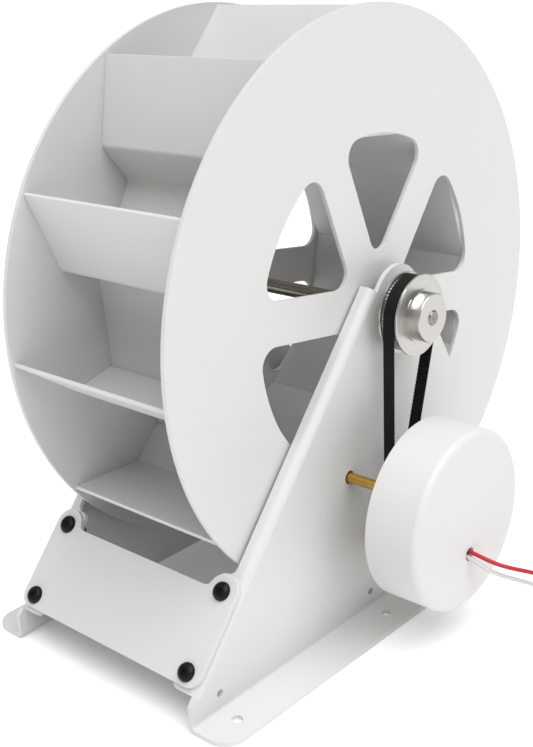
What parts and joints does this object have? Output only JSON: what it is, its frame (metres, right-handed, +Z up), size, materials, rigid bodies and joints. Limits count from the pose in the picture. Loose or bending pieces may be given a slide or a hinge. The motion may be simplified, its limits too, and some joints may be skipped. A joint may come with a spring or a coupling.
{
  "type": "water wheel generator",
  "caption": "Bucket water wheel in a folded sheet-metal stand, driving a disc-shaped generator through a toothed belt.",
  "frame": {"origin": "on the floor, at the centre of the four outer foot bolts", "axes": "+Z up; the wheel's shaft lies along Y, the pulley and generator are on the -Y side, and the splash plate faces -X"},
  "size_m": [0.3055, 0.2818, 0.319],
  "materials": {
    "white_coat": "satin white powder coat on sheet metal",
    "black_screw": "black oxide",
    "zinc_steel": "bright zinc",
    "shaft_steel": "ground",
    "aluminium": "turned, satin",
    "brass": "drawn rod, bright",
    "bush_polymer": "moulded",
    "belt_rubber": "matt",
    "white_plastic": "satin white",
    "nickel": "nickel plated",
    "core_steel": "laminated, oiled",
    "copper": "enamelled copper wire",
    "red_silicone": "soft wire insulation",
    "white_silicone": "soft wire insulation"
  },
  "bodies": {
    "frame": {"near_bracket": "white_coat", "far_bracket": "white_coat", "splash_plate": "white_coat", "splash_plate_screws": "black_screw", "splash_plate_nuts": "zinc_steel", "near_shaft_bush": "bush_polymer", "far_shaft_bush": "bush_polymer", "standoff_ring": "zinc_steel", "standoff_screws": "zinc_steel", "brass_standoffs": "brass", "generator_housing": "white_plastic", "generator_back_plate": "aluminium", "stator_post": "aluminium", "stator_core": "core_steel", "stator_coils": "copper", "bearing_outer_rings": "zinc_steel", "bearing_balls": "zinc_steel", "drive_belt": "belt_rubber", "red_lead": "red_silicone", "white_lead": "white_silicone"},
    "wheel": {"near_disc": "white_coat", "far_disc": "white_coat", "bucket_01": "white_coat", "bucket_02": "white_coat", "bucket_03": "white_coat", "bucket_04": "white_coat", "bucket_05": "white_coat", "bucket_06": "white_coat", "bucket_07": "white_coat", "bucket_08": "white_coat", "bucket_09": "white_coat", "bucket_10": "white_coat", "bucket_11": "white_coat", "near_hub": "aluminium", "far_hub": "aluminium", "near_hub_set_screw": "black_screw", "far_hub_set_screw": "black_screw", "near_hub_bolts": "zinc_steel", "far_hub_bolts": "zinc_steel", "wheel_shaft": "shaft_steel", "near_wheel_spacer": "aluminium", "far_wheel_spacer": "aluminium", "pulley_spacer": "aluminium", "drive_pulley": "aluminium", "drive_pulley_screws": "black_screw", "shaft_collar": "aluminium", "shaft_collar_screw": "black_screw"},
    "rotor": {"rotor_shaft": "shaft_steel", "rotor_bell": "zinc_steel", "rotor_magnets": "nickel", "bearing_inner_rings": "zinc_steel", "generator_pulley": "aluminium", "generator_pulley_screw": "black_screw"}
  },
  "joints": [
    {"name": "wheel_spin", "type": "hinge", "parent": "frame", "child": "wheel", "pos_m": [0.037, 0, 0.169], "axis": [0, -1, 0], "continuous": true},
    {"name": "rotor_spin", "type": "hinge", "parent": "frame", "child": "rotor", "pos_m": [0.025, -0.1, 0.0711], "axis": [0, -1, 0], "continuous": true}
  ],
  "couplings": [
    {"joint": "rotor_spin", "follows": "wheel_spin", "ratio": 3.3333}
  ]
}
